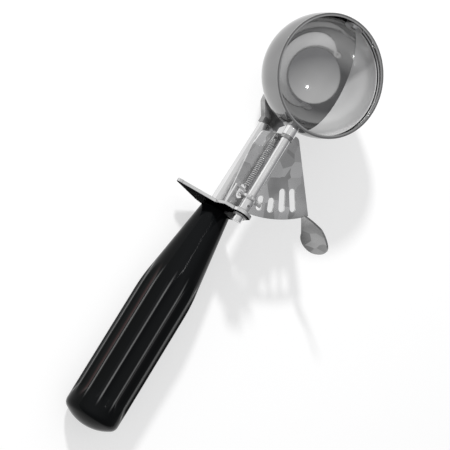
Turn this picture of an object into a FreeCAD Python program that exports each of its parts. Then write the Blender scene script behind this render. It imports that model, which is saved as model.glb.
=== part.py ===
"""Lever ice cream scoop: a deep bowl on a polished stem, with a thumb lever that turns
a rod through a slotted fan plate and a toothed disc, and so sweeps a blade round the bowl.

Frame: the origin is the centre of the bowl's sphere, which lies on the rod's axis.
+X runs along the rod away from the handle, +Z points out of the bowl's mouth, and the
thumb lever stands out towards -Y. Lengths are in millimetres and angles in degrees.
"""
import FreeCAD
import Part
import math
import os
import Sketcher
from FreeCAD import Placement, Rotation, Vector

DRIVING_SIZES = {
    # bowl
    "bowl_radius": 29.1,
    "bowl_wall": 0.9,
    "rim_height": 5.6,
    "rim_bead": 0.75,
    "rim_flat": 0.35,
    # rod and what carries it
    "rod_radius": 2.25,
    "rod_tip_radius": 1.5,
    "rod_end": 80.0,
    "rod_shoulder_gap": 0.15,
    "tip_overhang": 0.6,
    "running_fit": 0.05,
    "seat_fit": 0.02,
    "bushing_radius": 3.0,
    "bushing_length": 4.6,
    "collar_radius": 2.95,
    "collar_length": 1.4,
    "collar_gap": 0.3,
    # blade
    "blade_gap": 0.3,
    "blade_thickness": 0.5,
    "blade_low": 38,
    "blade_high": 5,
    "ear_radius": 4.4,
    # far pivot
    "far_pin_radius": 1.4,
    "far_head_radius": 2.5,
    "far_head_thickness": 1.0,
    # stem, saddle and handle
    "stem_drop": 22.8,
    "stem_width": 8.4,
    "stem_height": 6.0,
    "stem_crown": 1.6,
    "stem_taper": 1.9,
    "stem_stand_off": 0.4,
    "saddle_neck_width": 9.4,
    "saddle_depth": 5.4,
    "saddle_neck_inset": 2.3,
    "saddle_width": 18.4,
    "saddle_rise": 0.85,
    "saddle_ear_inset": 8.1,
    "saddle_tip_inset": 11.6,
    "saddle_sink": 1.0,
    "tang_radius": 2.6,
    "tang_length": 92.0,
    "handle_length": 115.9,
    "neck_radius": 7.2,
    "shoulder_radius": 13.35,
    "shoulder_reach": 45.0,
    "butt_radius": 13.35,
    "dome_height": 4.8,
    "dome_round": 4.0,
    "shoulder_round": 90.0,
    "neck_round": 1.0,
    "flute_count": 12,
    "flute_round": 6.5,
    "flute_depth": 1.2,
    "flute_turn": 14,
    "flute_margin": 15.0,
    "flute_fade": 6.0,
    "flute_overshoot": 0.3,
    # finger guard
    "guard_place": 76.3,
    "guard_thickness": 1.5,
    "guard_tab_radius": 4.9,
    "guard_shoulder_aside": 8.6,
    "guard_shoulder_drop": 2.0,
    "guard_root_aside": 8.8,
    "guard_root_drop": 11.0,
    "guard_neck_half": 8.0,
    "guard_wing_reach": 22.9,
    "guard_wing_tip": 2.0,
    "gusset_thickness": 1.2,
    "gusset_reach": 3.0,
    "gusset_drop": 1.1,
    "gusset_lip": 1.5,
    "gusset_foot": 0.8,
    "gusset_rise": 1.0,
    "flange_proud": 0.9,
    "flange_thickness": 0.6,
    "clip_proud": 0.4,
    "clip_thickness": 0.7,
    # lever
    "pivot_place": 38.0,
    "mesh_reach": 30.0,
    "tooth_count": 6,
    "slot_pitch": 11.6,
    "lever_thickness": 1.0,
    "slot_width": 3.4,
    "short_slot": 7.0,
    "long_slot": 11.0,
    "slot_run_out": 2.0,
    "last_slot_shift": 1.4,
    "fan_centre_forward": 24.0,
    "fan_centre_aside": 10.0,
    "fan_radius": 60.7,
    "fan_reach": 36.2,
    "fan_top_forward": 0.9,
    "fan_top_aside": 9.8,
    "fan_bend_back": 8.0,
    "fan_bend_aside": 10.6,
    "fan_left_aside": 7.2,
    "fan_low_back": 22.3,
    "fan_low_aside": 38.0,
    "fan_nose_forward": 8.9,
    "fan_nose_aside": 8.0,
    "fan_corner": 3.0,
    "leaf_neck_back": 20.0,
    "leaf_neck_aside": 32.6,
    "leaf_width": 18.0,
    "leaf_length": 18.4,
    "leaf_lift": 2.6,
    "leaf_lean": 12.0,
    "leaf_cup": 30.0,
    "leaf_thickness": 1.0,
    "leaf_root": 1.2,
    # gear
    "tooth_height": 1.0,
    "tooth_depth": 1.2,
    "tooth_width": 1.2,
    "gear_thickness": 1.2,
    "sleeve_radius": 2.7,
    "gear_pin_radius": 0.5,
    "gear_pin_proud": 0.25,
    # pivot
    "post_radius": 3.2,
    "rivet_radius": 1.5,
    "rivet_head_radius": 2.4,
    "rivet_head": 1.0,
    "rivet_depth": 6.0,
    "rivet_end_gap": 0.5,
    "washer_thickness": 0.5,
    "washer_proud": 1.0,
    "face_gap": 0.05,
    # spring
    "wire_radius": 0.25,
    "coil_radius": 1.35,
    "coil_pitch": 0.95,
    "coil_turns": 24,
    "coil_aside": 3.1,
    "coil_drop": 3.35,
    "coil_entry": 1.1,
    "lead_length": 1.0,
    "hook_entry": 1.6,
    "hook_radius": 0.85,
    "hook_drop": 4.3,
    "stud_radius": 0.5,
    "stud_forward": 2.3,
    "stud_aside": 3.0,
    "stud_top": 3.5,
    "anchor_aside": 7.2,
    "anchor_thickness": 1.0,
    "anchor_height": 1.6,
    "anchor_gap": 1.4,
}

doc = FreeCAD.newDocument("LeverScoop")
sizes = doc.addObject("Spreadsheet::Sheet", "sizes")
for row, (word, number) in enumerate(DRIVING_SIZES.items(), start=1):
    sizes.set(f"A{row}", word)
    sizes.set(f"B{row}", str(number))
    sizes.setAlias(f"B{row}", word)
doc.recompute()

# Formulas that several pieces share.
BORE = "(sizes.rod_radius + sizes.running_fit)"
BOWL_INSIDE = "(sizes.bowl_radius - sizes.bowl_wall)"
BLADE_OUTSIDE = f"({BOWL_INSIDE} - sizes.blade_gap)"
BLADE_INSIDE = f"({BLADE_OUTSIDE} - sizes.blade_thickness)"
RIM_RADIUS = "sqrt(sizes.bowl_radius ^ 2 - sizes.rim_height ^ 2)"
PITCH_RADIUS = "(sizes.tooth_count * sizes.mesh_reach * sizes.slot_pitch / 360)"
LEVER_TOP = f"(-{PITCH_RADIUS} + sizes.lever_thickness / 2)"
LEVER_UNDER = f"(-{PITCH_RADIUS} - sizes.lever_thickness / 2)"
GEAR_FRONT = "(-sizes.pivot_place - sizes.mesh_reach + sizes.gear_thickness / 2)"
GEAR_BACK = "(-sizes.pivot_place - sizes.mesh_reach - sizes.gear_thickness / 2)"
GUARD_FRONT = "(-sizes.guard_place + sizes.guard_thickness)"
STEM_TOP = "(-sizes.stem_drop + sizes.stem_height / 2)"
STEM_END = "(-sizes.bowl_radius - sizes.stem_stand_off)"
BUSHING_END = "(-sizes.bowl_radius - sizes.bushing_length)"
PIN_X = f"(({GEAR_BACK} + {GUARD_FRONT}) / 2)"
STEM_CROWN = ("(((sizes.stem_width / 2) ^ 2 + sizes.stem_crown ^ 2)"
              " / (2 * sizes.stem_crown))")
ALONG_X = Rotation(Vector(0, 1, 0), 90)

# The leaf's outline: shares of its length outwards, and of half its width upwards from
# its middle height.
LEAF_OUTLINE = [(0.4, -0.74), (0.7, -0.9), (0.95, -0.6), (1.02, 0.1), (0.88, 0.75),
                (0.6, 0.98), (0.3, 0.86)]

nodes = []


def value(formula):
    """The number that a formula of the sheet's sizes gives."""
    answer = sizes.evalExpression(str(formula))
    return float(getattr(answer, "Value", answer))


def size(word):
    return float(sizes.get(word))


def bind(thing, **formulas):
    for word, formula in formulas.items():
        thing.setExpression(word, str(formula))
    return thing


def place(thing, x="0", y="0", z="0", turn=Rotation()):
    """Puts a thing at a point that formulas give, turned by a fixed rotation."""
    thing.Placement = Placement(Vector(), turn)
    for axis, formula in zip("xyz", (x, y, z)):
        thing.setExpression(f"Placement.Base.{axis}", str(formula))
    return thing


def node(thing, name):
    """Marks a thing as one of the scoop's pieces."""
    thing.Label = name
    nodes.append(name)
    return thing


def cylinder(name, radius, length, x="0", y="0", z="0", turn=Rotation()):
    shape = bind(doc.addObject("Part::Cylinder", name), Radius=radius, Height=length)
    return place(shape, x, y, z, turn)


def rod_piece(name, radius, length, x, y="0", z="0"):
    """A cylinder that lies along X and starts at x."""
    return cylinder(name, radius, length, x, y, z, ALONG_X)


def tube(name, outside, bore, length, x):
    """A ring that lies along X and starts at x. Its bore's cutter runs past both ends."""
    return cut(name, rod_piece(f"{name}_outside", outside, length, x),
               rod_piece(f"{name}_bore", bore, f"3 * ({length})", f"{x} - ({length})"))


def ball(name, radius):
    return bind(doc.addObject("Part::Sphere", name), Radius=radius)


def block(name, length, width, height, x, y, z):
    shape = doc.addObject("Part::Box", name)
    return place(bind(shape, Length=length, Width=width, Height=height), x, y, z)


def cut(name, base, tool):
    result = doc.addObject("Part::Cut", name)
    result.Base, result.Tool = base, tool
    return result


def fuse(name, *shapes):
    result = doc.addObject("Part::MultiFuse", name)
    result.Shapes = list(shapes)
    return result


def body(name, x="0", y="0", z="0", turn=Rotation()):
    return place(doc.addObject("PartDesign::Body", name), x, y, z, turn)


def origin_part(owner, role):
    return next(part for part in owner.Origin.OriginFeatures if part.Role == role)


def sketch(owner, name, plane):
    result = owner.newObject("Sketcher::SketchObject", name)
    result.AttachmentSupport = [(origin_part(owner, plane), "")]
    result.MapMode = "FlatFace"
    return result


def pin_point(drawing, geometry, end, x, y, tag):
    """Ties one end of a sketch line to the formulas x and y."""
    for kind, formula in (("DistanceX", x), ("DistanceY", y)):
        number = drawing.addConstraint(
            Sketcher.Constraint(kind, -1, 1, geometry, end, value(formula)))
        word = f"{kind[-1].lower()}_{tag}"
        drawing.renameConstraint(number, word)
        drawing.setExpression(f"Constraints.{word}", str(formula))


def outline(drawing, corners, arcs=None):
    """Draws a closed outline through corners, counterclockwise. arcs gives, for the edge
    that leaves a corner, a point on it and either its radius or, on a half circle, the
    X or Y of its centre, all as formulas."""
    arcs = arcs or {}
    points = [Vector(value(x), value(y), 0) for x, y in corners]
    count = len(points)
    for index, (x, y) in enumerate(corners):
        start, end = points[index], points[(index + 1) % count]
        if index in arcs:
            through_x, through_y, kind, formula = arcs[index]
            through = Vector(value(through_x), value(through_y), 0)
            edge = drawing.addGeometry(Part.Arc(start, through, end), False)
            rule = [kind, edge] if kind == "Radius" else [kind, -1, 1, edge, 3]
            number = drawing.addConstraint(Sketcher.Constraint(*rule, value(formula)))
            drawing.renameConstraint(number, f"arc_{index}")
            drawing.setExpression(f"Constraints.arc_{index}", str(formula))
        else:
            edge = drawing.addGeometry(Part.LineSegment(start, end), False)
        pin_point(drawing, edge, 1, x, y, index)
    for index in range(count):
        drawing.addConstraint(Sketcher.Constraint("Coincident", index, 2, (index + 1) % count, 1))
    return drawing


def circle(drawing, x, y, radius, tag):
    middle = Vector(value(x), value(y), 0)
    edge = drawing.addGeometry(Part.Circle(middle, Vector(0, 0, 1), value(radius)), False)
    pin_point(drawing, edge, 3, x, y, tag)
    number = drawing.addConstraint(Sketcher.Constraint("Radius", edge, value(radius)))
    drawing.renameConstraint(number, f"radius_{tag}")
    drawing.setExpression(f"Constraints.radius_{tag}", str(radius))


def pad(owner, name, drawing, length, feature="PartDesign::Pad"):
    result = owner.newObject(feature, name)
    result.Profile = drawing
    result.setExpression("Length", str(length))
    return result


def ring_edges(feature, radius, height, slack=0.05):
    """Names of a revolved feature's circular edges of one radius at one height."""
    found = []
    for number, edge in enumerate(feature.Shape.Edges, start=1):
        if not edge.Degenerated and isinstance(edge.Curve, Part.Circle):
            centre = edge.Curve.Center
            if abs(edge.Curve.Radius - radius) < slack and abs(centre.z - height) < slack:
                found.append(f"Edge{number}")
    return found


def make_bowl():
    outside = ball("bowl_outside", "sizes.bowl_radius")
    inside = ball("bowl_inside", BOWL_INSIDE)
    above = block("bowl_above", "4 * sizes.bowl_radius", "4 * sizes.bowl_radius",
                  "2 * sizes.bowl_radius", "-2 * sizes.bowl_radius",
                  "-2 * sizes.bowl_radius", "sizes.rim_height")
    bead = doc.addObject("Part::Torus", "rim_bead")
    bind(bead, Radius1=f"{RIM_RADIUS} - sizes.bowl_wall / 2", Radius2="sizes.rim_bead")
    place(bead, z="sizes.rim_height")
    shell = cut("bowl_shell", cut("bowl_hollow", outside, inside), above)
    ground = block("rim_ground", "4 * sizes.bowl_radius", "4 * sizes.bowl_radius",
                   "sizes.bowl_radius", "-2 * sizes.bowl_radius", "-2 * sizes.bowl_radius",
                   "sizes.rim_height + sizes.rim_flat")
    rod_hole = rod_piece("bowl_rod_hole", BORE, "2 * sizes.bowl_wall + sizes.bowl_radius / 2",
                         "-1.2 * sizes.bowl_radius")
    pin_hole = rod_piece("bowl_pin_hole", "sizes.far_pin_radius + sizes.running_fit",
                         "sizes.bowl_radius", "sizes.bowl_radius / 2")
    holes = fuse("bowl_holes", rod_hole, pin_hole)
    beaded = cut("bowl_ground", fuse("bowl_beaded", shell, bead), ground)
    node(cut("bowl_cut", beaded, holes), "bowl")


def rounded_section(x, z, width, height):
    """A closed wire in a plane across X: a rectangle with a crowned top."""
    half = width / 2
    low, shoulder, top = z - height / 2, z + height / 4, z + height / 2
    corners = [Vector(x, -half, shoulder), Vector(x, -half, low),
               Vector(x, half, low), Vector(x, half, shoulder)]
    edges = [Part.LineSegment(a, b).toShape() for a, b in zip(corners, corners[1:])]
    edges.append(Part.Arc(corners[-1], Vector(x, 0, top), corners[0]).toShape())
    return Part.Wire(edges)


def make_saddle():
    """A flared socket that grows from the stem's section and ends on the bowl's outside."""
    height, back = size("saddle_rise") - size("stem_drop"), -size("bowl_radius")
    depth, neck, ears = size("saddle_depth"), size("saddle_neck_width"), size("saddle_width")
    sections = [
        rounded_section(value(STEM_END), height, neck, depth),
        rounded_section(back + size("saddle_neck_inset"), height, neck, depth),
        rounded_section(back + size("saddle_ear_inset"), height, ears, depth),
        rounded_section(back + size("saddle_tip_inset"), height - size("saddle_sink"), ears, depth),
    ]
    flare = Part.makeLoft(sections, True, True)
    shape = flare.cut(Part.makeSphere(size("bowl_radius") + size("seat_fit")))
    saddle = doc.addObject("Part::Feature", "saddle")
    saddle.Shape = max(shape.Solids, key=lambda solid: solid.Volume)
    node(saddle, "bowl_saddle")


def make_stem():
    stem = body("stem_body", STEM_END, z="-sizes.stem_drop")
    drawing = sketch(stem, "stem_section", "YZ_Plane")
    half, low = "sizes.stem_width / 2", "-sizes.stem_height / 2"
    shoulder = "sizes.stem_height / 2 - sizes.stem_crown"
    outline(drawing, [(f"-{half}", low), (half, low), (half, shoulder), (f"-{half}", shoulder)],
            {2: ("0", "sizes.stem_height / 2", "Radius", STEM_CROWN)})
    long = f"({STEM_END} - {GUARD_FRONT})"
    bar = pad(stem, "stem_bar", drawing, long)
    bar.Reversed = True
    wedge = sketch(stem, "stem_wedge", "XZ_Plane")
    outline(wedge, [(f"-{long}", low), ("0", low), ("0", f"{low} + sizes.stem_taper")])
    slope = pad(stem, "stem_slope", wedge, "2 * sizes.stem_width", "PartDesign::Pocket")
    slope.Midplane = True
    node(stem, "stem")


def make_tang():
    length = "sizes.tang_length + sizes.guard_thickness"
    node(rod_piece("tang_rod", "sizes.tang_radius", length,
                   f"{GUARD_FRONT} - ({length})", z="-sizes.stem_drop"), "handle_tang")


def make_handle():
    turn = Rotation(Vector(0, 1, 0), -90).multiply(Rotation(Vector(0, 0, 1), size("flute_turn")))
    handle = body("handle_body", "-sizes.guard_place - sizes.face_gap",
                  z="-sizes.stem_drop", turn=turn)
    drawing = sketch(handle, "handle_profile", "XZ_Plane")
    side_end = "sizes.handle_length - sizes.dome_height"
    dome = ("(sizes.butt_radius ^ 2 + sizes.dome_height ^ 2) / (2 * sizes.dome_height)")
    halfway = f"{dome} * sin(asin(sizes.butt_radius / ({dome})) / 2)"
    halfway_up = (f"sizes.handle_length - {dome} + {dome} * "
                  f"cos(asin(sizes.butt_radius / ({dome})) / 2)")
    outline(drawing, [("0", "0"), ("sizes.neck_radius", "0"),
                      ("sizes.shoulder_radius", "sizes.shoulder_reach"),
                      ("sizes.butt_radius", side_end), ("0", "sizes.handle_length")],
            {3: (halfway, halfway_up, "Radius", dome)})
    turned = handle.newObject("PartDesign::Revolution", "handle_turned")
    turned.Profile = drawing
    turned.ReferenceAxis = (drawing, ["V_Axis"])
    turned.Angle = 360
    doc.recompute()
    last = turned
    rounds = (("shoulder_blend", "shoulder_radius", "sizes.shoulder_reach", "shoulder_round"),
              ("butt_blend", "butt_radius", side_end, "dome_round"),
              ("neck_blend", "neck_radius", "0", "neck_round"))
    for name, ring, height, rounding in rounds:
        blend = handle.newObject("PartDesign::Fillet", name)
        blend.Base = (last, ring_edges(last, size(ring), value(height)))
        blend.setExpression("Radius", f"sizes.{rounding}")
        doc.recompute()
        last = blend
    cutter = sketch(handle, "flute_profile", "XZ_Plane")
    axis = "(sizes.butt_radius + sizes.flute_round - sizes.flute_depth)"
    shallow = f"{axis} - sizes.flute_round + sizes.flute_depth + sizes.flute_overshoot"
    deep = f"{axis} - sizes.flute_round"
    first = "sizes.shoulder_reach - sizes.flute_margin"
    final = f"{side_end} - sizes.dome_round"
    outline(cutter, [(shallow, first), (axis, first), (axis, final), (shallow, final),
                     (deep, f"{final} - sizes.flute_fade"),
                     (deep, f"{first} + sizes.flute_fade")])
    flute = handle.newObject("PartDesign::Groove", "flute")
    flute.Profile = cutter
    flute.ReferenceAxis = (cutter, ["Edge2"])
    flute.Angle = 360
    doc.recompute()
    ring = handle.newObject("PartDesign::PolarPattern", "flutes")
    ring.Originals = [flute]
    ring.Axis = (origin_part(handle, "Z_Axis"), [""])
    ring.Angle = 360
    ring.setExpression("Occurrences", "sizes.flute_count")
    handle.Tip = ring
    doc.recompute()
    bore = sketch(handle, "tang_hole_outline", "XY_Plane")
    circle(bore, "0", "0", "sizes.tang_radius + sizes.seat_fit", "bore")
    hole = pad(handle, "tang_hole", bore, "sizes.tang_length + sizes.seat_fit",
               "PartDesign::Pocket")
    hole.Reversed = True
    node(handle, "handle")


def make_guard():
    guard = body("guard_body", "-sizes.guard_place")
    drawing = sketch(guard, "guard_outline", "YZ_Plane")
    tab, tip = "sizes.guard_tab_radius", "sizes.guard_wing_tip"
    drop, half = "-sizes.stem_drop", "sizes.guard_neck_half"
    reach = "sizes.guard_wing_reach"
    outline(drawing, [
        (f"-{tab}", "0"),
        (f"-{half}", f"{drop} + {half}"),
        (f"-{half}", f"{drop} - {half} / 2"),
        (f"-{half} / 2", f"{drop} - {half}"),
        (half, f"{drop} - {half}"),
        (reach, f"{drop} - {tip}"),
        (reach, f"{drop} + {tip}"),
        ("sizes.guard_root_aside", "-sizes.guard_root_drop"),
        ("sizes.guard_shoulder_aside", "-sizes.guard_shoulder_drop"),
        (tab, "0"),
    ], {5: (f"{reach} + {tip}", drop, "DistanceX", reach), 9: ("0", tab, "DistanceY", "0")})
    circle(drawing, "0", "0", "sizes.sleeve_radius + sizes.running_fit + sizes.seat_fit", "rod")
    circle(drawing, "0", drop, "sizes.tang_radius + sizes.seat_fit", "tang")
    pad(guard, "guard_plate", drawing, "sizes.guard_thickness")
    node(guard, "finger_guard")


def make_gusset():
    gusset = body("gusset_body", y="sizes.gusset_thickness / 2")
    drawing = sketch(gusset, "gusset_outline", "XZ_Plane")
    back = "-sizes.guard_place - sizes.seat_fit"
    under = "-sizes.bushing_radius - sizes.gusset_drop"
    reach = f"{back} - sizes.gusset_reach"
    foot = "-sizes.stem_drop + sizes.guard_neck_half + sizes.gusset_rise"
    outline(drawing, [(reach, under), (reach, f"{under} - sizes.gusset_lip"),
                      (f"{back} - sizes.gusset_foot", foot), (back, foot), (back, under)])
    pad(gusset, "gusset_web", drawing, "sizes.gusset_thickness")
    node(gusset, "guard_gusset")


def make_rod():
    """The spindle: a full rod with a thinner tip through the blade's ear."""
    shoulder = f"(-{BLADE_OUTSIDE} - sizes.rod_shoulder_gap)"
    main = rod_piece("rod_main", "sizes.rod_radius", f"{shoulder} + sizes.rod_end",
                     "-sizes.rod_end")
    tip = rod_piece("rod_tip", "sizes.rod_tip_radius",
                    f"sizes.rod_end - {BLADE_INSIDE} + sizes.tip_overhang", "-sizes.rod_end")
    pin_hole = cylinder("rod_pin_hole", "sizes.gear_pin_radius + sizes.seat_fit",
                        "4 * sizes.rod_radius", PIN_X, z="-2 * sizes.rod_radius")
    node(cut("rod_cut", fuse("rod_whole", main, tip), pin_hole), "scraper_rod")


def make_bushing():
    sleeve = tube("bushing_tube", "sizes.bushing_radius", BORE,
                  "sizes.bushing_length + 2 * sizes.bowl_wall", BUSHING_END)
    seat = ball("bushing_seat", "sizes.bowl_radius + sizes.seat_fit")
    node(cut("bushing_cut", sleeve, seat), "rod_bushing")


def make_collar():
    start = f"({BUSHING_END} - sizes.collar_gap - sizes.collar_length)"
    node(tube("collar_tube", "sizes.collar_radius", "sizes.rod_radius + sizes.seat_fit",
              "sizes.collar_length", start), "rod_collar")


def make_blade():
    """A thin sweep of the bowl's own curve, with a round ear at each pole."""
    radius = value(BLADE_OUTSIDE)
    shell = Part.makeSphere(radius).cut(Part.makeSphere(value(BLADE_INSIDE)))
    reach = 2 * radius
    low, high = (math.radians(size(word)) for word in ("blade_low", "blade_high"))
    corners = [Vector(-radius * 1.1, 0, 0),
               Vector(-radius * 1.1, -reach * math.cos(high), reach * math.sin(high)),
               Vector(-radius * 1.1, -reach * math.cos(low), -reach * math.sin(low))]
    wedge = Part.Face(Part.makePolygon(corners + corners[:1])).extrude(
        Vector(2.2 * radius, 0, 0))
    ears = Part.makeCylinder(size("ear_radius"), 2.2 * radius,
                             Vector(-1.1 * radius, 0, 0), Vector(1, 0, 0))
    sweep = shell.common(wedge.fuse(ears))
    rod_hole = Part.makeCylinder(size("rod_tip_radius") + size("seat_fit"), radius,
                                 Vector(-1.1 * radius, 0, 0), Vector(1, 0, 0))
    pin_hole = Part.makeCylinder(size("far_pin_radius") + size("seat_fit"), radius,
                                 Vector(0.1 * radius, 0, 0), Vector(1, 0, 0))
    blade = doc.addObject("Part::Feature", "blade")
    blade.Shape = sweep.cut(rod_hole).cut(pin_hole).removeSplitter()
    node(blade, "scraper_blade")


def make_far_pin():
    start = f"({BLADE_INSIDE} - sizes.tip_overhang)"
    head_place = "(sizes.bowl_radius + sizes.face_gap)"
    shank = rod_piece("far_shank", "sizes.far_pin_radius",
                      f"{head_place} - {start} + sizes.far_head_thickness / 2", start)
    head = rod_piece("far_head", "sizes.far_head_radius", "sizes.far_head_thickness",
                     head_place)
    node(fuse("far_pin_whole", shank, head), "far_pivot_pin")


def make_gear():
    """A thin disc whose teeth reach into the fan plate's slots; at rest two of them
    straddle the lowest point."""
    pitch, count = value(PITCH_RADIUS), int(size("tooth_count"))
    root, tip = pitch - size("tooth_depth"), pitch + size("tooth_height")
    half, thick = size("tooth_width") / 2, size("gear_thickness")
    disc = Part.makeCylinder(root, thick)
    for index in range(count):
        profile = [Vector(root / 2, -half, 0), Vector(tip - half, -half, 0),
                   Vector(tip, 0, 0), Vector(tip - half, half, 0), Vector(root / 2, half, 0)]
        edges = [Part.LineSegment(profile[0], profile[1]).toShape(),
                 Part.Arc(profile[1], profile[2], profile[3]).toShape(),
                 Part.LineSegment(profile[3], profile[4]).toShape(),
                 Part.LineSegment(profile[4], profile[0]).toShape()]
        tooth = Part.Face(Part.Wire(edges)).extrude(Vector(0, 0, thick))
        tooth.rotate(Vector(), Vector(0, 0, 1), 360 * (index + 0.5) / count)
        disc = disc.fuse(tooth)
    bore = Part.makeCylinder(size("rod_radius") + size("seat_fit"), thick)
    gear = doc.addObject("Part::Feature", "gear")
    gear.Shape = disc.cut(bore).removeSplitter()
    gear.Placement = Placement(Vector(value(GEAR_BACK), 0, 0), ALONG_X)
    node(gear, "drive_gear")


def make_sleeve():
    length = f"({GEAR_BACK} - {GUARD_FRONT} - sizes.collar_gap - sizes.flange_thickness)"
    start = f"({GEAR_BACK} - {length})"
    sleeve = tube("sleeve_tube", "sizes.sleeve_radius", "sizes.rod_radius + sizes.seat_fit",
                  length, start)
    hole = cylinder("sleeve_pin_hole", "sizes.gear_pin_radius + sizes.seat_fit",
                    "4 * sizes.sleeve_radius", PIN_X, z="-2 * sizes.sleeve_radius")
    node(cut("sleeve_cut", sleeve, hole), "gear_sleeve")


def make_gear_pin():
    half = "(sizes.sleeve_radius + sizes.gear_pin_proud)"
    node(cylinder("gear_pin_rod", "sizes.gear_pin_radius", f"2 * {half}", PIN_X,
                  z=f"-{half}"), "gear_pin")


def make_lower_bushing():
    """A flanged bushing pressed into the guard's tab."""
    flange = rod_piece("lower_flange", "sizes.sleeve_radius + sizes.flange_proud",
                       "sizes.flange_thickness", f"{GUARD_FRONT} + sizes.seat_fit")
    barrel = rod_piece("lower_barrel", "sizes.sleeve_radius + sizes.running_fit",
                       "sizes.guard_thickness + sizes.seat_fit + sizes.flange_thickness / 2",
                       "-sizes.guard_place")
    hole = rod_piece("lower_bore", BORE, "4 * sizes.guard_thickness",
                     "-sizes.guard_place - sizes.guard_thickness")
    node(cut("lower_cut", fuse("lower_whole", flange, barrel), hole), "rod_lower_bushing")


def make_clip():
    start = "(-sizes.guard_place - sizes.collar_gap - sizes.clip_thickness)"
    node(tube("clip_ring", "sizes.bushing_radius + sizes.clip_proud",
              "sizes.rod_radius + sizes.seat_fit", "sizes.clip_thickness", start), "rod_clip")


def make_post():
    height = f"({LEVER_UNDER} - sizes.face_gap - sizes.washer_thickness - {STEM_TOP})"
    post = cylinder("post_outside", "sizes.post_radius", f"{height} + sizes.stem_crown",
                    "-sizes.pivot_place", z=f"{STEM_TOP} - sizes.stem_crown")
    hole = cylinder("post_hole", "sizes.rivet_radius + sizes.seat_fit",
                    "sizes.rivet_depth + sizes.washer_thickness", "-sizes.pivot_place",
                    z=f"{LEVER_UNDER} - sizes.washer_thickness - sizes.rivet_depth")
    drilled = cut("post_drilled", post, hole)
    crown = rod_piece("post_seat", STEM_CROWN, "4 * sizes.post_radius",
                      "-sizes.pivot_place - 2 * sizes.post_radius",
                      z=f"{STEM_TOP} - {STEM_CROWN} + sizes.seat_fit")
    node(cut("post_cut", drilled, crown), "pivot_post")


def make_washer():
    start = f"({LEVER_UNDER} - sizes.face_gap - sizes.washer_thickness)"
    node(cut("washer_cut",
             cylinder("washer_outside", "sizes.post_radius + sizes.washer_proud",
                      "sizes.washer_thickness",
                      "-sizes.pivot_place", z=start),
             cylinder("washer_hole", "sizes.rivet_radius + sizes.seat_fit",
                      "3 * sizes.washer_thickness", "-sizes.pivot_place",
                      z=f"{start} - sizes.washer_thickness")), "pivot_washer")


def make_rivet():
    start = f"({LEVER_UNDER} - sizes.washer_thickness - sizes.rivet_depth + sizes.rivet_end_gap)"
    shank = cylinder("rivet_shank", "sizes.rivet_radius",
                     f"{LEVER_TOP} - {start} + sizes.rivet_head / 2",
                     "-sizes.pivot_place", z=start)
    head = cylinder("rivet_head", "sizes.rivet_head_radius", "sizes.rivet_head",
                    "-sizes.pivot_place", z=f"{LEVER_TOP} + sizes.face_gap")
    node(fuse("rivet_whole", shank, head), "pivot_rivet")


def stadium(length, width, height):
    """A slot cutter: centred on Z, long along X, with round ends."""
    straight = length - width
    box = Part.makeBox(straight, width, height, Vector(-straight / 2, -width / 2, 0))
    for end in (-straight / 2, straight / 2):
        box = box.fuse(Part.makeCylinder(width / 2, height, Vector(end, 0, 0)))
    return box


def fan_corners():
    """The fan plate's corners, outwards from its apex beside the bowl."""
    pivot = -size("pivot_place")
    places = [("fan_top_forward", "fan_top_aside", 1, 1), ("fan_bend_back", "fan_bend_aside", -1, 1),
              ("fan_reach", "fan_left_aside", -1, 1), ("fan_reach", "fan_low_aside", -1, -1),
              ("fan_low_back", "fan_low_aside", -1, -1),
              ("fan_nose_forward", "fan_nose_aside", 1, -1)]
    return [Vector(pivot + way_x * size(along), way_y * size(aside), 0)
            for along, aside, way_x, way_y in places]


def slot_plan():
    """Each slot's pitch number from the gear at rest, its length, and how far it runs out
    beyond the gear's path."""
    short, long, out = size("short_slot"), size("long_slot"), size("slot_run_out")
    plan = [(number - 0.5, short, out) for number in range(4)]
    return plan + [(3.5, long, out), (4.5, long, out + size("last_slot_shift"))]


def make_leaf(neck, outward):
    """The thumb leaf: a cupped sheet that stands across the lever's swing."""
    across = Vector(outward.y, -outward.x, 0)
    lean = math.radians(size("leaf_lean"))
    upward = Vector(0, 0, 1) * math.cos(lean) - across * math.sin(lean)
    half, length, lift = size("leaf_width") / 2, size("leaf_length"), size("leaf_lift")
    root, plate = size("leaf_root"), size("lever_thickness")
    plan = [(-root, -plate / 2)]
    plan += [(length * along, lift + half * up) for along, up in LEAF_OUTLINE]
    plan.append((-root, 1.5 * plate))
    normal = outward.cross(upward)
    cup, thick = size("leaf_cup"), size("leaf_thickness")
    points = [neck + outward * u + upward * w for u, w in plan]
    curve = Part.BSplineCurve()
    curve.interpolate(points[1:-1])
    edges = [Part.LineSegment(points[0], points[1]).toShape(), curve.toShape(),
             Part.LineSegment(points[-2], points[-1]).toShape(),
             Part.LineSegment(points[-1], points[0]).toShape()]
    face = Part.Face(Part.Wire(edges))
    block_of_leaf = face.extrude(normal * 2 * half)
    block_of_leaf.translate(normal * -half)
    centre = neck - outward * half + upward * lift + normal * cup
    long = length + 2 * half
    shell = Part.makeCylinder(cup + thick / 2, long, centre, outward)
    shell = shell.cut(Part.makeCylinder(cup - thick / 2, long, centre, outward))
    leaf = block_of_leaf.common(shell)
    return max(leaf.Solids, key=lambda solid: solid.Volume)


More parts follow.
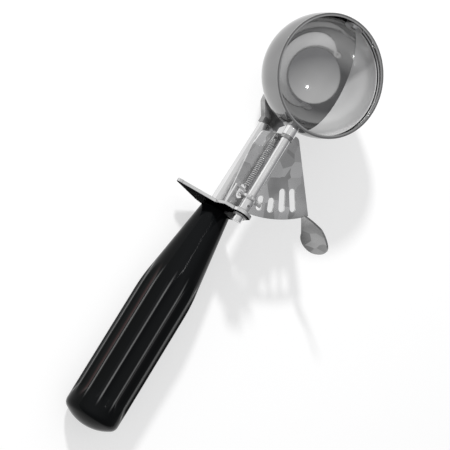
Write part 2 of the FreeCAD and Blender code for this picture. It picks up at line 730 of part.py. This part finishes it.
def make_lever():
    """One stamped sheet: a slotted fan that turns on the pivot rivet, and its thumb leaf."""
    pivot = Vector(-size("pivot_place"), 0, 0)
    thick, reach = size("lever_thickness"), size("mesh_reach")
    corners = fan_corners()
    blank = Part.Face(Part.makePolygon(corners + corners[:1])).extrude(Vector(0, 0, thick))
    upright = [edge for edge in blank.Edges
               if abs(edge.Vertexes[0].Point.z - edge.Vertexes[1].Point.z) > thick / 2
               and edge.Vertexes[0].Point.x > pivot.x - size("fan_reach") / 2]
    blank = blank.makeFillet(size("fan_corner"), upright)
    fan_centre = pivot + Vector(size("fan_centre_forward"), size("fan_centre_aside"), 0)
    blank = blank.common(Part.makeCylinder(size("fan_radius"), thick, fan_centre))
    hole = Part.makeCylinder(size("rivet_radius") + size("running_fit"), thick, pivot)
    plate = blank.cut(hole)
    for number, length, run_out in slot_plan():
        angle = math.radians(180 + size("slot_pitch") * number)
        mesh = pivot + Vector(math.cos(angle), math.sin(angle), 0) * reach
        away = (mesh - fan_centre).normalize()
        slot = stadium(length, size("slot_width"), thick)
        slot.rotate(Vector(), Vector(0, 0, 1), math.degrees(math.atan2(away.y, away.x)))
        slot.translate(mesh - away * (length / 2 - run_out))
        plate = plate.cut(slot)
    stud = pivot + Vector(size("stud_forward"), size("stud_aside"), 0)
    plate = plate.cut(Part.makeCylinder(size("stud_radius") + size("seat_fit"), thick, stud))
    corner = Vector(pivot.x - size("leaf_neck_back"), -size("leaf_neck_aside"), thick / 2)
    outward = (corner - pivot)
    outward.z = 0
    outward.normalize()
    plate = plate.fuse(make_leaf(corner, outward)).removeSplitter()
    lever = doc.addObject("Part::Feature", "lever")
    lever.Shape = max(plate.Solids, key=lambda solid: solid.Volume)
    lever.Placement = Placement(Vector(0, 0, value(LEVER_UNDER)), Rotation())
    node(lever, "thumb_lever")


def make_stud():
    x, y = "-sizes.pivot_place + sizes.stud_forward", "sizes.stud_aside"
    height = f"(-sizes.stud_top - {LEVER_UNDER})"
    node(cylinder("stud_pin", "sizes.stud_radius", height, x, y, LEVER_UNDER), "spring_stud")


def make_anchor():
    """A bent strip on the guard's face that passes beside the gear and turns in to the
    spring's lower end."""
    thick, high = "sizes.anchor_thickness", "sizes.anchor_height"
    front = f"({GEAR_FRONT} + sizes.anchor_gap)"
    z = f"-sizes.coil_drop - {high} / 2"
    arm = block("anchor_arm", f"{front} + {thick} - {GUARD_FRONT} - sizes.seat_fit", thick,
                high, f"{GUARD_FRONT} + sizes.seat_fit", "sizes.anchor_aside", z)
    inner = "(sizes.coil_aside - sizes.coil_radius / 2)"
    turned = block("anchor_turn", thick, f"sizes.anchor_aside - {inner} + {thick} / 2", high,
                   front, inner, z)
    node(fuse("anchor_whole", arm, turned), "spring_anchor")


def biarc(start, start_way, end, end_way):
    """Two arcs, tangent to each other and to the given unit directions at their ends."""
    span = end - start
    ways = start_way + end_way
    a = 2 * (1 - start_way.dot(end_way))
    b = 2 * span.dot(ways)
    c = -span.dot(span)
    if abs(a) < 1e-9:
        reach = -c / b
    else:
        reach = (-b + math.sqrt(b * b - 4 * a * c)) / (2 * a)
    knee_1, knee_2 = start + start_way * reach, end - end_way * reach
    joint = (knee_1 + knee_2) * 0.5
    edges = []
    for first, knee, second in ((start, knee_1, joint), (joint, knee_2, end)):
        chord = (second - first).Length
        rise = (knee - (first + second) * 0.5)
        if rise.Length < 1e-6 * chord:
            edges.append(Part.LineSegment(first, second).toShape())
            continue
        angle = math.acos(min(1.0, chord / 2 / (knee - first).Length))
        middle = (first + second) * 0.5 + rise.normalize() * (chord / 2 * math.tan(angle / 2))
        edges.append(Part.Arc(first, middle, second).toShape())
    return edges


def spring_path():
    """The wire's line: a straight lead from the anchor, the coil, and a hook round the
    lever's stud."""
    radius, pitch, turns = size("coil_radius"), size("coil_pitch"), int(size("coil_turns"))
    y, z = size("coil_aside"), -size("coil_drop")
    lead = size("lead_length")
    begin = (value(GEAR_FRONT) + size("anchor_gap") + size("anchor_thickness")
             + size("face_gap"))
    coil_start = begin + lead + size("coil_entry")

    def on_coil(angle):
        return Vector(coil_start + pitch * angle / (2 * math.pi),
                      y + radius * math.cos(angle), z + radius * math.sin(angle))

    def along_coil(angle):
        return Vector(pitch / (2 * math.pi), -radius * math.sin(angle),
                      radius * math.cos(angle)).normalize()

    forward = Vector(1, 0, 0)
    root = Vector(begin, y, z)
    knee = Vector(begin + lead, y, z)
    edges = [Part.LineSegment(root, knee).toShape()]
    edges += biarc(knee, forward, on_coil(0), along_coil(0))
    step = math.pi / 2
    for quarter in range(4 * turns):
        low, high = quarter * step, (quarter + 1) * step
        edges += biarc(on_coil(low), along_coil(low), on_coil(high), along_coil(high))
    final = turns * 2 * math.pi
    hook, hook_z = size("hook_radius"), -size("hook_drop")
    stud = Vector(-size("pivot_place") + size("stud_forward"), size("stud_aside"), hook_z)
    rest = on_coil(final)
    enter = Vector(rest.x + size("hook_entry"), stud.y + hook, hook_z)
    edges += biarc(rest, along_coil(final), enter, forward)
    reach = Vector(stud.x, stud.y + hook, hook_z)
    edges.append(Part.LineSegment(enter, reach).toShape())
    turn_1 = Vector(stud.x + hook, stud.y, hook_z)
    slant = hook * math.sqrt(0.5)
    edges.append(Part.Arc(reach, stud + Vector(slant, slant, 0), turn_1).toShape())
    edges.append(Part.Arc(turn_1, stud + Vector(slant, -slant, 0),
                          stud + Vector(0, -hook, 0)).toShape())
    tail = stud + Vector(-2 * size("wire_radius"), -hook, 0)
    edges.append(Part.LineSegment(stud + Vector(0, -hook, 0), tail).toShape())
    return edges


def least_gap(points, wire, skip):
    """The least free gap between stretches of the wire that are skip points apart."""
    least = math.inf
    for index, point in enumerate(points):
        for other in points[index + skip:index + 6 * skip]:
            least = min(least, (other - point).Length)
    return least - 2 * wire


def make_spring():
    wire = size("wire_radius")
    path = Part.Wire(spring_path())
    start = path.Edges[0]
    ring = Part.Wire(Part.makeCircle(wire, start.Vertexes[0].Point, Vector(1, 0, 0)))
    tube = path.makePipeShell([ring], True, False)
    spring = doc.addObject("Part::Feature", "spring")
    spring.Shape = tube
    node(spring, "return_spring")
    points = path.discretize(Distance=wire)
    skip = int(2 * math.pi * size("coil_radius") * 0.6 / wire)
    print("spring: gap", round(least_gap(points, wire, skip), 3), "wire length",
          round(path.Length, 1), "volume share",
          round(tube.Volume / (math.pi * wire ** 2 * path.Length), 4))


def check_and_write():
    doc.recompute()
    for thing in doc.Objects:
        bad = [word for word in thing.State if word in ("Invalid", "Error")]
        if bad:
            raise RuntimeError(f"{thing.Label} is {bad}")
    os.makedirs("parts", exist_ok=True)
    for name in nodes:
        shape = doc.getObjectsByLabel(name)[0].Shape
        if shape.isNull() or not shape.isValid() or not shape.Solids:
            raise RuntimeError(f"{name} has no valid shape")
        box = shape.BoundBox
        print(f"{name:18s} solids {len(shape.Solids)} volume {shape.Volume:9.2f}",
              [round(number, 2) for number in
               (box.XMin, box.XMax, box.YMin, box.YMax, box.ZMin, box.ZMax)])
        shape.exportStep(f"parts/{name}.step")


for make in (make_bowl, make_saddle, make_stem, make_tang, make_handle, make_guard,
             make_gusset, make_rod, make_bushing, make_collar, make_blade, make_far_pin,
             make_gear, make_sleeve, make_gear_pin, make_lower_bushing, make_clip, make_post,
             make_washer, make_rivet, make_lever, make_stud, make_anchor, make_spring):
    make()
check_and_write()
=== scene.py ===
"""Looks of the lever ice cream scoop: polished steel on a white studio floor."""

import math

import bmesh
import bpy
from mathutils import Matrix, Vector


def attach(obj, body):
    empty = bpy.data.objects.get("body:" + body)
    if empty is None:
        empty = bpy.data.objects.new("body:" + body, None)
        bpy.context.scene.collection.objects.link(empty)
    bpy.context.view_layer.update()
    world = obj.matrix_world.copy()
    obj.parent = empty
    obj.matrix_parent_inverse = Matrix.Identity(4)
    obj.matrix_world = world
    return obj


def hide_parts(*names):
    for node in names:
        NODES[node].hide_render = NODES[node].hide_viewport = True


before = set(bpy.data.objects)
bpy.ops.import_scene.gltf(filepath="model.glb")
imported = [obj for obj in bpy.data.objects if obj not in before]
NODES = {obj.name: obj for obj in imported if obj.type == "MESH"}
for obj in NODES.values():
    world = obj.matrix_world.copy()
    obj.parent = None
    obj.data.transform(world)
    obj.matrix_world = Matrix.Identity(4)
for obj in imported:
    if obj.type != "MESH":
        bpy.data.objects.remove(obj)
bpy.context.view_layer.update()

# The photograph's camera, in metres, in the part's frame.
CAMERA_PLACE = Vector((-0.22635, 0.33651, 0.63629))
CAMERA_RIGHT = Vector((0.51021, -0.71024, 0.48502))
CAMERA_BACK = Vector((-0.19376, 0.45452, 0.86941))
LENS = 130.12
SENSOR = 36.0

# The handle's sizes as they are in the solid, in metres.
HANDLE_END = -0.07635
HANDLE_DROP = 0.0228
HANDLE_LENGTH = 0.1159
NECK_RADIUS = 0.0072
NECK_ROUND = 0.001
BARREL_RADIUS = 0.01335
BARREL_START = 0.045
BARREL_BLEND = 0.006
DOME_HEIGHT = 0.0048
DOME_ROUND = 0.004
FLUTE_COUNT = 12
FLUTE_TURN = math.radians(14)
FLUTE_ROUND = 0.0065
FLUTE_DEPTH = 0.0012
FLUTE_START = 0.03
FLUTE_FADE = 0.006
CREST_ROUND = 0.0003
# The width of the grey highlight line painted along each flute's crest.
CREST_HIGHLIGHT_WIDTH = 0.0005
# The flute, and the band of angles in it, where a dull red reflection is painted.
REFLECTION_FLUTE = 2
REFLECTION_TURN = math.radians(-5.5)
REFLECTION_HALF_WIDTH = math.radians(6)

# How finely the handle's mesh is divided.
NECK_ROWS = 6
BARREL_ROWS = 120
ROUND_ROWS = 8
DOME_ROWS = 10
FLUTE_STEPS = 24

# The materials' own numbers, lengths in metres. BOWL_MIDDLE is the radius at the middle of
# the bowl's wall, beyond which painted shade darkens the bowl's outside, and the leaf's painted
# shade fades into the plate's colour from LEAF_START to LEAF_END.
HANDLE_IOR = 1.18
BOWL_MIDDLE = 0.02865
WALL_BLEND = 0.0002
LEAF_START = -0.036
LEAF_END = -0.031
GRAIN_DEPTH = 0.00001
SPECKLE_DEPTH = 0.00002
EDGE_ROUND = 0.0002
SHEET_ROUND = 0.0003

# The studio: ways to the lamps, their sizes in metres and their powers in watts.
FLOOR_HEIGHT = -0.0362
FLOOR_REACH = 3.0
FLOOR_GREY = 0.45
FLOOR_GLOW = 0.57
WORLD_STRENGTH = 0.85
LAMP_AIM = Vector((-0.05, 0, 0))
LAMP_DISTANCE = 1.2
LIGHT_WAY = Vector((0.49, 0.67, 0.56))
LIGHT_SIZE = 0.1
LIGHT_POWER = 14.0
GLINT_WAY = Vector((0.36, 0.17, 0.92))
GLINT_SIZE = 0.05
GLINT_POWER = 0.3


def make_camera():
    camera = bpy.data.objects.new("camera", bpy.data.cameras.new("camera"))
    camera.data.lens = LENS
    camera.data.sensor_width = SENSOR
    camera.data.clip_start = 0.01
    back, right = CAMERA_BACK.normalized(), CAMERA_RIGHT.normalized()
    up = back.cross(right)
    turn = Matrix((right, up, back)).transposed().to_4x4()
    camera.matrix_world = Matrix.Translation(CAMERA_PLACE) @ turn
    bpy.context.scene.collection.objects.link(camera)
    bpy.context.scene.camera = camera


def make_lamp(name, way, size, power, mirrored):
    """A round lamp that shows only in reflections, or else only lights diffuse surfaces."""
    lamp = bpy.data.objects.new(name, bpy.data.lights.new(name, "AREA"))
    lamp.data.shape = "DISK"
    lamp.data.size = size
    lamp.data.energy = power
    place = LAMP_AIM + way.normalized() * LAMP_DISTANCE
    lamp.matrix_world = Matrix.Translation(place) @ way.to_track_quat("Z", "Y").to_matrix().to_4x4()
    lamp.visible_glossy = mirrored
    lamp.visible_diffuse = not mirrored
    bpy.context.scene.collection.objects.link(lamp)


class Shader:
    """A material's node tree with short ways to add what the surfaces need."""

    def __init__(self, name):
        self.material = bpy.data.materials.new(name)
        self.material.use_nodes = True
        self.tree = self.material.node_tree
        self.bsdf = self.tree.nodes["Principled BSDF"]
        self.coords = self.add("ShaderNodeTexCoord").outputs["Object"]

    def add(self, kind, **settings):
        made = self.tree.nodes.new(kind)
        for word, setting in settings.items():
            setattr(made, word, setting)
        return made

    def link(self, output, target):
        self.tree.links.new(output, target)

    def set(self, **values):
        for word, number in values.items():
            self.bsdf.inputs[word.replace("_", " ")].default_value = number

    def stretched(self, scale):
        mapping = self.add("ShaderNodeMapping")
        mapping.inputs["Scale"].default_value = scale
        self.link(self.coords, mapping.inputs["Vector"])
        return mapping.outputs["Vector"]

    def noise(self, scale, detail=3.0, stretch=(1, 1, 1), distortion=0.0):
        made = self.add("ShaderNodeTexNoise")
        made.inputs["Scale"].default_value = scale
        made.inputs["Detail"].default_value = detail
        made.inputs["Distortion"].default_value = distortion
        self.link(self.stretched(stretch), made.inputs["Vector"])
        return made.outputs["Fac"]

    def attribute(self, name):
        """A number that the mesh holds at its points."""
        return self.add("ShaderNodeAttribute", attribute_name=name).outputs["Fac"]

    def cells(self, scale, stretch):
        made = self.add("ShaderNodeTexVoronoi")
        made.inputs["Scale"].default_value = scale
        self.link(self.stretched(stretch), made.inputs["Vector"])
        return made.outputs["Color"]

    def ramp(self, value, stops):
        made = self.add("ShaderNodeValToRGB")
        elements = made.color_ramp.elements
        while len(elements) < len(stops):
            elements.new(0.5)
        for element, (place, colour) in zip(elements, stops):
            element.position = place
            shade = colour if isinstance(colour, tuple) else (colour,) * 3
            element.color = (*shade, 1)
        self.link(value, made.inputs["Fac"])
        return made.outputs["Color"]

    def mix(self, kind, amount, first, second):
        made = self.add("ShaderNodeMix", data_type="RGBA", blend_type=kind)
        made.inputs["Factor"].default_value = amount
        self.link(first, made.inputs[6])
        self.link(second, made.inputs[7])
        return made.outputs[2]

    def math(self, kind, first, second):
        made = self.add("ShaderNodeMath", operation=kind)
        for index, value in enumerate((first, second)):
            if isinstance(value, (int, float)):
                made.inputs[index].default_value = value
            else:
                self.link(value, made.inputs[index])
        return made.outputs["Value"]

    def to_range(self, value, low, high):
        made = self.add("ShaderNodeMapRange")
        made.inputs["To Min"].default_value = low
        made.inputs["To Max"].default_value = high
        self.link(value, made.inputs["Value"])
        return made.outputs["Result"]

    def between(self, value, low, high):
        """0 where value is low or less, 1 where it is high or more."""
        made = self.add("ShaderNodeMapRange")
        made.inputs["From Min"].default_value = low
        made.inputs["From Max"].default_value = high
        self.link(value, made.inputs["Value"])
        return made.outputs["Result"]

    def bump(self, height, strength, distance, base=None):
        made = self.add("ShaderNodeBump")
        made.inputs["Strength"].default_value = strength
        made.inputs["Distance"].default_value = distance
        self.link(height, made.inputs["Height"])
        if base is not None:
            self.link(base, made.inputs["Normal"])
        return made.outputs["Normal"]

    def bevel(self, radius):
        made = self.add("ShaderNodeBevel", samples=6)
        made.inputs["Radius"].default_value = radius
        return made.outputs["Normal"]


def steel(name, dark, light, smooth, rough, grain=(1, 1, 1), grain_scale=900, patch=45,
          metal=1.0):
    """Polished steel: broad patches of tone, fine grain lines and softly rounded edges."""
    look = Shader(name)
    look.set(Metallic=metal)
    patches = look.noise(patch, 2.0)
    look.link(look.ramp(patches, [(0.3, dark), (0.7, light)]), look.bsdf.inputs["Base Color"])
    lines = look.noise(grain_scale, 3.0, grain)
    look.link(look.to_range(lines, smooth, rough), look.bsdf.inputs["Roughness"])
    normal = look.bump(lines, 0.35, GRAIN_DEPTH, look.bevel(EDGE_ROUND))
    look.link(normal, look.bsdf.inputs["Normal"])
    return look.material


def bowl_steel():
    """The bowl: mirror bright inside, with painted shade halving its colour beyond the middle of its
    wall.
    """
    look = Shader("bowl_steel")
    look.set(Metallic=1.0)
    reach = look.add("ShaderNodeVectorMath", operation="LENGTH")
    look.link(look.coords, reach.inputs[0])
    # Painted shade: the bowl's outside gets half the colour of its inside.
    outside_shade = look.ramp(look.between(reach.outputs["Value"], BOWL_MIDDLE - WALL_BLEND,
                                     BOWL_MIDDLE + WALL_BLEND), [(0.0, 1.0), (1.0, 0.5)])
    patches = look.ramp(look.noise(45, 2.0), [(0.3, 0.47), (0.7, 0.58)])
    look.link(look.mix("MULTIPLY", 1.0, patches, outside_shade), look.bsdf.inputs["Base Color"])
    lines = look.noise(500, 3.0, (1, 1, 6))
    look.link(look.to_range(lines, 0.06, 0.11), look.bsdf.inputs["Roughness"])
    normal = look.bump(lines, 0.04, GRAIN_DEPTH, look.bevel(EDGE_ROUND))
    look.link(normal, look.bsdf.inputs["Normal"])
    return look.material


def guard_steel():
    """The guard's sheet: full colour on top and at its edges, with painted shade on the faces turned
    towards the handle.
    """
    look = Shader("guard_steel")
    look.set(Metallic=1.0, Specular_Tint=(0.15, 0.15, 0.15, 1))
    facing = look.add("ShaderNodeTexCoord").outputs["Normal"]
    parts = look.add("ShaderNodeSeparateXYZ")
    look.link(facing, parts.inputs[0])
    # Painted shade: faces turned towards the handle are darkened to a tenth of the colour.
    handle_side_shade = look.ramp(look.between(parts.outputs["X"], -0.9, -0.6), [(0.0, 0.1), (1.0, 1.0)])
    patches = look.ramp(look.noise(45, 2.0), [(0.3, 0.66), (0.7, 0.8)])
    look.link(look.mix("MULTIPLY", 1.0, patches, handle_side_shade), look.bsdf.inputs["Base Color"])
    lines = look.noise(900, 3.0, (1, 1, 0.1))
    look.link(look.to_range(lines, 0.14, 0.26), look.bsdf.inputs["Roughness"])
    normal = look.bump(lines, 0.3, GRAIN_DEPTH, look.bevel(SHEET_ROUND))
    look.link(normal, look.bsdf.inputs["Normal"])
    return look.material


def fan_steel():
    """The stamped fan plate: a mottled, facet-like sheen with fine speckle, and painted shade
    darkening the leaf.
    """
    look = Shader("lever_steel")
    look.set(Metallic=1.0)
    facets = look.cells(150, (1, 1.3, 0.6))
    broad = look.noise(38, 1.0, distortion=0.6)
    tone = look.mix("MIX", 0.55, look.ramp(broad, [(0.38, 0.4), (0.62, 0.86)]),
                    look.ramp(facets, [(0.2, 0.34), (0.8, 0.95)]))
    parts = look.add("ShaderNodeSeparateXYZ")
    look.link(look.coords, parts.inputs[0])
    # Painted shade: the leaf's colour is cut to about half, fading into the plate's full colour.
    leaf_shade_fade = look.between(parts.outputs["Y"], LEAF_START, LEAF_END)
    tone = look.mix("MULTIPLY", 1.0, tone, look.ramp(leaf_shade_fade, [(0.0, 0.48), (1.0, 1.0)]))
    look.link(tone, look.bsdf.inputs["Base Color"])
    speckle = look.noise(1400, 4.0)
    look.link(look.to_range(speckle, 0.2, 0.4), look.bsdf.inputs["Roughness"])
    normal = look.bump(speckle, 0.2, SPECKLE_DEPTH, look.bevel(EDGE_ROUND))
    look.link(normal, look.bsdf.inputs["Normal"])
    return look.material


def black_plastic():
    """Glossy black, with painted grey highlight lines along the flutes' crests and a painted dull red
    reflection in one flute.
    """
    look = Shader("handle_black")
    look.set(IOR=HANDLE_IOR)
    streaks = look.noise(60, 2.0, (0.08, 1, 1))
    tone = look.ramp(streaks, [(0.4, (0.002, 0.0025, 0.0025)), (0.7, (0.004, 0.0045, 0.005))])
    # A dull red reflection painted into one flute.
    red_reflection = look.ramp(look.attribute("red_reflection_band"), [(0.0, (0.0, 0.0, 0.0)), (1.0, (0.024, 0.006, 0.006))])
    # Grey highlight lines painted along the flutes' crests, broken up along their length.
    highlight_breaks = look.noise(700, 2.0, (0.05, 1, 1))
    crest_highlight = look.math("MULTIPLY", look.attribute("crest"), look.to_range(highlight_breaks, 0.6, 1.3))
    crest_highlight_colour = look.ramp(crest_highlight, [(0.0, (0.0, 0.0, 0.0)), (1.0, (0.13, 0.13, 0.13))])
    tone = look.mix("ADD", 1.0, look.mix("ADD", 1.0, tone, red_reflection), crest_highlight_colour)
    look.link(tone, look.bsdf.inputs["Base Color"])
    haze = look.noise(120, 3.0, (0.3, 1, 1))
    look.link(look.to_range(haze, 0.08, 0.18), look.bsdf.inputs["Roughness"])
    pores = look.noise(2500, 2.0)
    look.link(look.bump(pores, 0.03, GRAIN_DEPTH), look.bsdf.inputs["Normal"])
    return look.material


ALONG = (0.03, 1, 1)
MATERIALS = {
    "bowl": bowl_steel(),
    "scraper_blade": steel("blade_steel", 0.82, 0.9, 0.16, 0.26, ALONG, 700, metal=0.62),
    "stem": steel("stem_steel", 0.68, 0.8, 0.09, 0.16, ALONG),
    "scraper_rod": steel("rod_steel", 0.72, 0.84, 0.12, 0.2, (1, 0.1, 0.1)),
    "finger_guard": guard_steel(),
    "return_spring": steel("spring_steel", 0.66, 0.8, 0.16, 0.26),
    "bowl_saddle": steel("saddle_steel", 0.2, 0.42, 0.22, 0.36, (1, 0.2, 1), 400, 160),
    "guard_gusset": steel("gusset_steel", 0.2, 0.36, 0.25, 0.4),
    "pivot_post": steel("post_steel", 0.24, 0.4, 0.25, 0.4),
    "rod_collar": steel("collar_steel", 0.28, 0.44, 0.2, 0.32),
    "drive_gear": steel("gear_steel", 0.6, 0.74, 0.16, 0.28),
    "thumb_lever": fan_steel(),
    "handle": black_plastic(),
}
SHARED = {
    "rod_bushing": "scraper_rod", "far_pivot_pin": "scraper_rod", "gear_sleeve": "scraper_rod",
    "rod_lower_bushing": "finger_guard", "rod_clip": "guard_gusset", "gear_pin": "guard_gusset",
    "pivot_washer": "drive_gear", "pivot_rivet": "drive_gear", "spring_stud": "drive_gear",
    "spring_anchor": "drive_gear", "handle_tang": "pivot_post",
}


def handle_rows():
    """Distances from the neck and radii of the unfluted handle, from the neck to the butt."""
    dome = (BARREL_RADIUS ** 2 + DOME_HEIGHT ** 2) / (2 * DOME_HEIGHT)
    dome_centre = HANDLE_LENGTH - dome
    inner = BARREL_RADIUS - DOME_ROUND
    round_centre = dome_centre + math.sqrt((dome - DOME_ROUND) ** 2 - inner ** 2)
    join = math.asin(inner / (dome - DOME_ROUND))
    slope = (BARREL_RADIUS - NECK_RADIUS) / BARREL_START
    rows = []
    for step in range(NECK_ROWS):
        along = NECK_ROUND * step / NECK_ROWS
        sunk = NECK_ROUND - math.sqrt(NECK_ROUND ** 2 - (NECK_ROUND - along) ** 2)
        rows.append((along, NECK_RADIUS + slope * along - sunk))
    for step in range(BARREL_ROWS + 1):
        along = NECK_ROUND + (round_centre - NECK_ROUND) * step / BARREL_ROWS
        past = min(max(along - BARREL_START + BARREL_BLEND, 0.0), 2 * BARREL_BLEND)
        radius = NECK_RADIUS + slope * (min(along, BARREL_START + BARREL_BLEND)
                                        - past ** 2 / (4 * BARREL_BLEND))
        rows.append((along, radius))
    for step in range(1, ROUND_ROWS + 1):
        turn = (math.pi / 2 - join) * step / ROUND_ROWS
        rows.append((round_centre + DOME_ROUND * math.sin(turn), inner + DOME_ROUND * math.cos(turn)))
    for step in range(1, DOME_ROWS):
        turn = join * (1 - step / DOME_ROWS)
        rows.append((dome_centre + dome * math.cos(turn), dome * math.sin(turn)))
    return rows


def soft_min(first, second, blend):
    """The smaller of two lengths, rounded over where they are nearly alike."""
    near = max(blend - abs(first - second), 0.0) / blend
    return min(first, second) - near * near * blend / 4


def fluted_radius(along, radius, turn, flute_end):
    """The handle's radius at an angle from a flute's middle, with the flute cut in."""
    axis = BARREL_RADIUS + FLUTE_ROUND - FLUTE_DEPTH
    fade = min(along - FLUTE_START, flute_end - along, FLUTE_FADE) / FLUTE_FADE
    cutter = FLUTE_ROUND - FLUTE_DEPTH - CREST_ROUND + (FLUTE_DEPTH + CREST_ROUND) * fade
    inside = cutter ** 2 - (axis * math.sin(turn)) ** 2
    if fade <= 0 or inside <= 0:
        return radius
    return soft_min(radius, axis * math.cos(turn) - math.sqrt(inside), CREST_ROUND)


def make_handle():
    """The grip: a turned bottle shape with scalloped flutes and thin rounded crests."""
    rows = handle_rows()
    flute_end = HANDLE_LENGTH - DOME_HEIGHT - DOME_ROUND
    half = math.pi / FLUTE_COUNT
    turns = []
    for flute in range(FLUTE_COUNT):
        for step in range(FLUTE_STEPS):
            share = 2 * step / FLUTE_STEPS - 1
            turns.append((flute, half * (0.5 * share + 0.5 * math.sin(share * math.pi / 2))))
    mesh = bmesh.new()
    rings, crest_highlights, red_reflection_weights = [], [], []
    for along, radius in rows:
        ring = []
        for flute, turn in turns:
            reach = fluted_radius(along, radius, turn, flute_end)
            angle = FLUTE_TURN + 2 * half * flute + turn
            ring.append(mesh.verts.new((HANDLE_END - along, reach * math.sin(angle),
                                        reach * math.cos(angle) - HANDLE_DROP)))
            deep = min(max((radius - fluted_radius(along, radius, 0, flute_end)) / FLUTE_DEPTH, 0), 1)
            # How strongly the crest's painted highlight line shows at this point.
            crest_highlights.append(deep * max(1 - BARREL_RADIUS * (half - abs(turn)) / CREST_HIGHLIGHT_WIDTH, 0))
            # How strongly one flute's painted red reflection shows at this point.
            red_reflection = max(1 - abs(turn - REFLECTION_TURN) / REFLECTION_HALF_WIDTH, 0) if flute == REFLECTION_FLUTE else 0
            red_reflection_weights.append(deep * red_reflection)
        rings.append(ring)
    for before, after in zip(rings, rings[1:]):
        for index in range(len(turns)):
            following = (index + 1) % len(turns)
            mesh.faces.new((before[index], before[following], after[following], after[index]))
    for ring, along in ((rings[0][::-1], 0.0), (rings[-1], HANDLE_LENGTH)):
        middle = mesh.verts.new((HANDLE_END - along, 0, -HANDLE_DROP))
        for index in range(len(turns)):
            mesh.faces.new((ring[index], ring[(index + 1) % len(turns)], middle))
    bmesh.ops.recalc_face_normals(mesh, faces=mesh.faces)
    piece = add_piece("handle_grip", mesh, MATERIALS["handle"])
    for name, values in (("crest", crest_highlights), ("red_reflection_band", red_reflection_weights)):
        layer = piece.data.attributes.new(name, "FLOAT", "POINT")
        layer.data.foreach_set("value", values + [0.0, 0.0])
    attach(piece, "scoop")
    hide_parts("handle")


def add_piece(name, mesh, look):
    data = bpy.data.meshes.new(name)
    mesh.to_mesh(data)
    mesh.free()
    data.shade_smooth()
    data.materials.append(look)
    piece = bpy.data.objects.new(name, data)
    bpy.context.scene.collection.objects.link(piece)
    return piece


def dress_nodes():
    for name, part in NODES.items():
        look = MATERIALS[SHARED.get(name, name)]
        part.data.materials.clear()
        part.data.materials.append(look)


def make_floor():
    bpy.ops.mesh.primitive_plane_add(size=2 * FLOOR_REACH, location=(0, 0, FLOOR_HEIGHT))
    floor = bpy.context.object
    floor.name = "floor"
    look = Shader("floor_white")
    tree = look.tree
    tree.nodes.remove(look.bsdf)
    output = tree.nodes["Material Output"]
    diffuse = look.add("ShaderNodeBsdfDiffuse")
    diffuse.inputs["Color"].default_value = (FLOOR_GREY, FLOOR_GREY, FLOOR_GREY, 1)
    glow = look.add("ShaderNodeEmission")
    path = look.add("ShaderNodeLightPath")
    seen = look.math("MAXIMUM", path.outputs["Is Camera Ray"], path.outputs["Is Glossy Ray"])
    seen = look.math("MAXIMUM", seen, path.outputs["Is Transmission Ray"])
    look.link(look.math("MULTIPLY", seen, FLOOR_GLOW), glow.inputs["Strength"])
    both = look.add("ShaderNodeAddShader")
    look.link(diffuse.outputs[0], both.inputs[0])
    look.link(glow.outputs[0], both.inputs[1])
    look.link(both.outputs[0], output.inputs["Surface"])
    floor.data.materials.append(look.material)


def make_world():
    """White to the camera; a soft grey studio with a bright side to everything else."""
    world = bpy.data.worlds.new("studio")
    bpy.context.scene.world = world
    world.use_nodes = True
    tree = world.node_tree
    back = tree.nodes["Background"]
    output = tree.nodes["World Output"]
    coords = tree.nodes.new("ShaderNodeTexCoord")
    turn = tree.nodes.new("ShaderNodeVectorMath")
    turn.operation = "DOT_PRODUCT"
    turn.inputs[1].default_value = LIGHT_WAY.normalized()
    tree.links.new(coords.outputs["Generated"], turn.inputs[0])
    ramp = tree.nodes.new("ShaderNodeValToRGB")
    tree.links.new(turn.outputs["Value"], ramp.inputs["Fac"])
    elements = ramp.color_ramp.elements
    elements[0].position, elements[0].color = 0.0, (0.36, 0.36, 0.37, 1)
    elements[1].position, elements[1].color = 1.0, (0.95, 0.95, 0.95, 1)
    tree.links.new(ramp.outputs["Color"], back.inputs["Color"])
    back.inputs["Strength"].default_value = WORLD_STRENGTH
    plain = tree.nodes.new("ShaderNodeBackground")
    plain.inputs["Color"].default_value = (1, 1, 1, 1)
    path = tree.nodes.new("ShaderNodeLightPath")
    mix = tree.nodes.new("ShaderNodeMixShader")
    tree.links.new(path.outputs["Is Camera Ray"], mix.inputs["Fac"])
    tree.links.new(back.outputs[0], mix.inputs[1])
    tree.links.new(plain.outputs[0], mix.inputs[2])
    tree.links.new(mix.outputs[0], output.inputs["Surface"])


make_camera()
make_world()
make_lamp("key", LIGHT_WAY, LIGHT_SIZE, LIGHT_POWER, mirrored=False)
make_lamp("glint", GLINT_WAY, GLINT_SIZE, GLINT_POWER, mirrored=True)
make_floor()
dress_nodes()
make_handle()

bpy.context.scene.view_settings.view_transform = "Standard"
